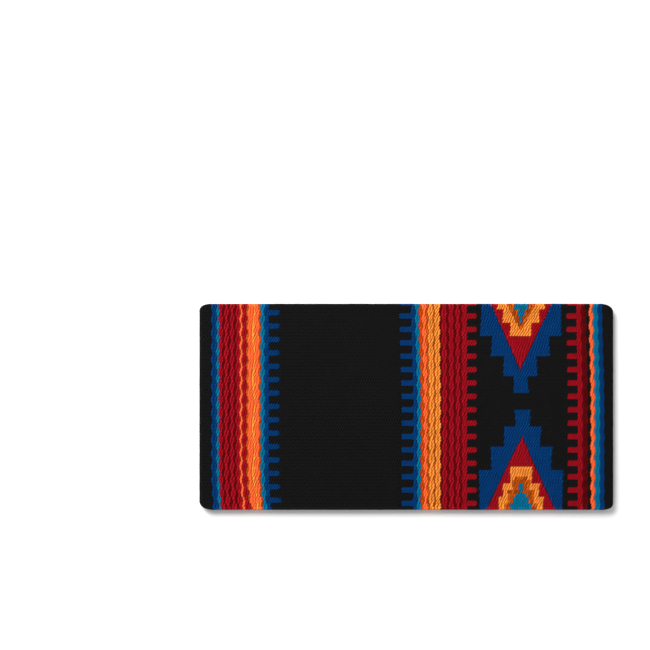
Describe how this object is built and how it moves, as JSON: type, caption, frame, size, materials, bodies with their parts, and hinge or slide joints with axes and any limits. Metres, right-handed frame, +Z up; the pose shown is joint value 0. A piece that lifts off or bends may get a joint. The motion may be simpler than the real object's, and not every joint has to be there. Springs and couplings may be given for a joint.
{
  "type": "folded saddle blanket",
  "caption": "Tapestry-woven wool show saddle blanket, folded in half along the spine, that opens flat at its fold.",
  "frame": {"origin": "centre of the folded blanket's footprint, on the surface it lies on", "axes": "+X along the spine from the front edge to the back edge, +Y from the open edges to the fold, +Z up"},
  "size_m": [0.8636, 0.4306, 0.0168],
  "materials": {
    "black_wool": "matte wool yarn",
    "blue_wool": "matte wool yarn",
    "teal_wool": "matte wool yarn",
    "red_wool": "matte wool yarn",
    "maroon_wool": "matte wool yarn",
    "orange_wool": "matte wool yarn",
    "gold_wool": "matte wool yarn",
    "brown_wool": "matte wool yarn",
    "warp_cord": "twisted undyed wool cord"
  },
  "bodies": {
    "lower_half": {"lower_left_end": "black_wool", "lower_edge_blue_stripes": "blue_wool", "lower_edge_teal_stripes": "teal_wool", "lower_left_red_ropes": "red_wool", "lower_maroon_lines": "maroon_wool", "lower_orange_pinstripe": "orange_wool", "lower_orange_band_borders": "brown_wool", "lower_orange_band": "orange_wool", "lower_field_teal_stripes": "teal_wool", "lower_field_blue_combs": "blue_wool", "lower_saddle_field": "black_wool", "lower_orange_rope": "orange_wool", "lower_gold_rope_borders": "brown_wool", "lower_gold_ropes": "gold_wool", "lower_right_red_ropes": "red_wool", "lower_diamond_red_combs": "red_wool", "lower_diamond_field": "black_wool", "lower_diamond_blue": "blue_wool", "lower_diamond_red": "red_wool", "lower_diamond_gold": "gold_wool", "lower_diamond_brown": "brown_wool", "lower_diamond_teal": "teal_wool", "lower_maroon_stripe": "maroon_wool", "lower_black_gap_stripe": "black_wool", "lower_orange_bead_stripe": "orange_wool", "lower_right_end": "black_wool", "lower_warps": "warp_cord"},
    "spine_1": {"spine_rib_1": "black_wool", "spine_warp_1": "warp_cord"},
    "spine_2": {"spine_rib_2": "black_wool", "spine_warp_2": "warp_cord"},
    "spine_3": {"spine_rib_3": "black_wool", "spine_warp_3": "warp_cord"},
    "upper_half": {"upper_left_end": "black_wool", "upper_edge_blue_stripes": "blue_wool", "upper_edge_teal_stripes": "teal_wool", "upper_left_red_ropes": "red_wool", "upper_maroon_lines": "maroon_wool", "upper_orange_pinstripe": "orange_wool", "upper_orange_band_borders": "brown_wool", "upper_orange_band": "orange_wool", "upper_field_teal_stripes": "teal_wool", "upper_field_blue_combs": "blue_wool", "upper_saddle_field": "black_wool", "upper_orange_rope": "orange_wool", "upper_gold_rope_borders": "brown_wool", "upper_gold_ropes": "gold_wool", "upper_right_red_ropes": "red_wool", "upper_diamond_red_combs": "red_wool", "upper_diamond_field": "black_wool", "upper_diamond_blue": "blue_wool", "upper_diamond_red": "red_wool", "upper_diamond_gold": "gold_wool", "upper_diamond_brown": "brown_wool", "upper_diamond_teal": "teal_wool", "upper_maroon_stripe": "maroon_wool", "upper_black_gap_stripe": "black_wool", "upper_orange_bead_stripe": "orange_wool", "upper_right_end": "black_wool", "upper_warps": "warp_cord"}
  },
  "joints": [
    {"name": "fold", "type": "hinge", "parent": "lower_half", "child": "upper_half", "pos_m": [0, 0.22083, 0.00842], "axis": [-1, 0, 0], "range_deg": [0, 180]},
    {"name": "crease_1", "type": "hinge", "parent": "lower_half", "child": "spine_1", "pos_m": [0, 0.21037, 0], "axis": [-1, 0, 0], "range_deg": [0, 45]},
    {"name": "crease_2", "type": "hinge", "parent": "spine_1", "child": "spine_2", "pos_m": [0, 0.2153, 0.00493], "axis": [-1, 0, 0], "range_deg": [0, 45]},
    {"name": "crease_3", "type": "hinge", "parent": "upper_half", "child": "spine_3", "pos_m": [0, 0.21037, 0.01685], "axis": [1, 0, 0], "range_deg": [0, 45]}
  ],
  "couplings": [
    {"joint": "crease_1", "follows": "fold", "ratio": 0.25},
    {"joint": "crease_2", "follows": "fold", "ratio": 0.25},
    {"joint": "crease_3", "follows": "fold", "ratio": 0.25}
  ]
}
